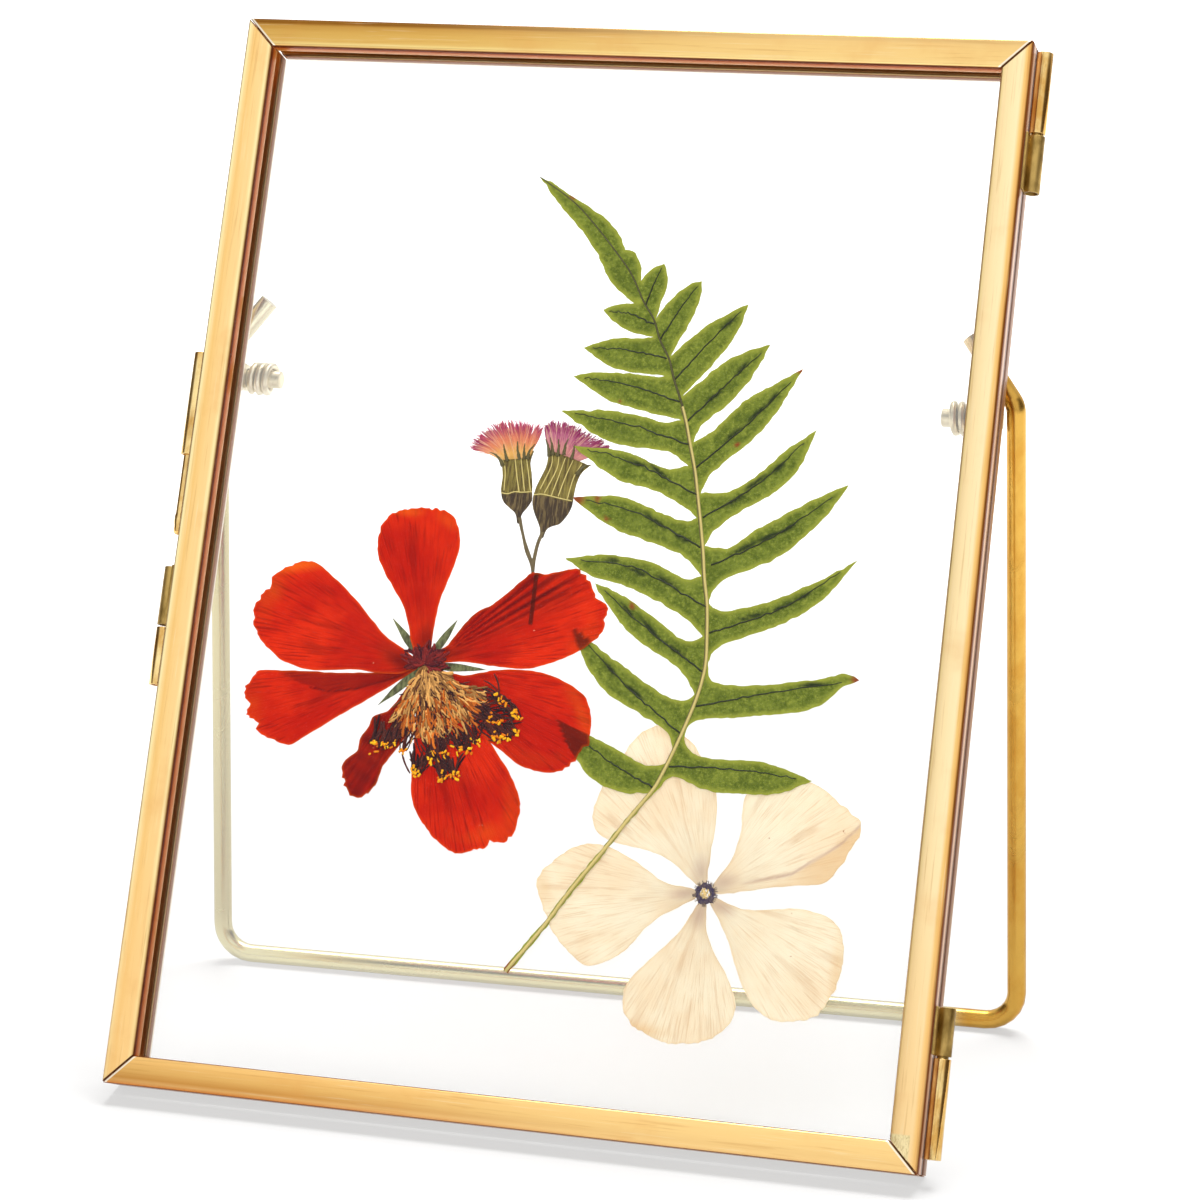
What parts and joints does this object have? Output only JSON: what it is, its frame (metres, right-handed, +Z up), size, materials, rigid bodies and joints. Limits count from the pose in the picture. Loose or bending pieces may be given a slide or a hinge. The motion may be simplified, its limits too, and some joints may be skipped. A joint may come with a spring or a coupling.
{
  "type": "pressed flower frame",
  "caption": "Hinged brass table frame on a folding wire stand, holding pressed flowers and a fern frond between panes of glass.",
  "frame": {"origin": "on the surface it stands on, under the middle of the leaning frame's box", "axes": "+Z up, +Y from the front of the frame towards its stand, +X to the right seen from the front"},
  "size_m": [0.144, 0.0897, 0.163],
  "materials": {
    "brass": "satin, folded and filed",
    "old_brass": "tarnished satin",
    "glass": "clear, polished",
    "petal_red": "dried papery petal, veined",
    "disc_brown": "dried fibrous florets",
    "bract_green": "dried leaf",
    "frond_green": "dried leaf, veined",
    "tuft_pink": "dried hair-fine florets",
    "cup_olive": "dried ribbed calyx",
    "stalk_brown": "dried stalk",
    "petal_cream": "dried papery petal, veined",
    "eye_navy": "dried fuzz"
  },
  "bodies": {
    "back_leaf": {"back_bottom_rail": "brass", "back_top_rail": "brass", "back_left_stile": "brass", "back_right_stile": "brass", "back_pane": "glass", "top_hinge_back_knuckle": "brass", "bottom_hinge_back_knuckle": "brass", "top_hinge_pin": "old_brass", "bottom_hinge_pin": "old_brass", "clasp_guide": "brass", "clasp_back_keeper": "brass", "pivot_sleeve_left": "old_brass", "pivot_sleeve_right": "old_brass", "pivot_spring_left": "brass", "pivot_spring_right": "brass", "red_petal_top": "petal_red", "red_petal_upper_left": "petal_red", "red_petal_left": "petal_red", "red_petal_lower_left": "petal_red", "red_petal_bottom": "petal_red", "red_petal_lower_right": "petal_red", "red_petal_upper_right": "petal_red", "red_disc": "disc_brown", "red_bracts": "bract_green", "fern_frond": "frond_green", "tassel_left_tuft": "tuft_pink", "tassel_right_tuft": "tuft_pink", "tassel_left_cup": "cup_olive", "tassel_right_cup": "cup_olive", "tassel_stalk": "stalk_brown", "cream_petal_upper_left": "petal_cream", "cream_petal_upper_right": "petal_cream", "cream_petal_right": "petal_cream", "cream_petal_bottom": "petal_cream", "cream_petal_left": "petal_cream", "cream_eye": "eye_navy"},
    "front_leaf": {"front_bottom_rail": "brass", "front_top_rail": "brass", "front_left_stile": "brass", "front_right_stile": "brass", "front_pane": "glass", "top_hinge_front_knuckle": "old_brass", "bottom_hinge_front_knuckle": "old_brass", "clasp_front_keeper": "old_brass"},
    "clasp_bolt": {"clasp_bolt": "old_brass"},
    "stand": {"stand_wire": "brass", "pivot_pin_left": "brass", "pivot_pin_right": "brass"}
  },
  "joints": [
    {"name": "front_leaf_hinge", "type": "hinge", "parent": "back_leaf", "child": "front_leaf", "pos_m": [0.06845, -0.00018, 0.08168], "axis": [0, 0.4617, 0.887], "range_deg": [0, 170]},
    {"name": "stand_hinge", "type": "hinge", "parent": "back_leaf", "child": "stand", "pos_m": [0, 0.01988, 0.10506], "axis": [-1, 0, 0], "range_deg": [0, 25], "stiffness_Nm_per_rad": 0.03, "springref_deg": -57.3},
    {"name": "clasp_bolt_slide", "type": "slide", "parent": "back_leaf", "child": "clasp_bolt", "axis": [0, -0.4617, -0.887], "range_m": [0, 0.012]}
  ]
}
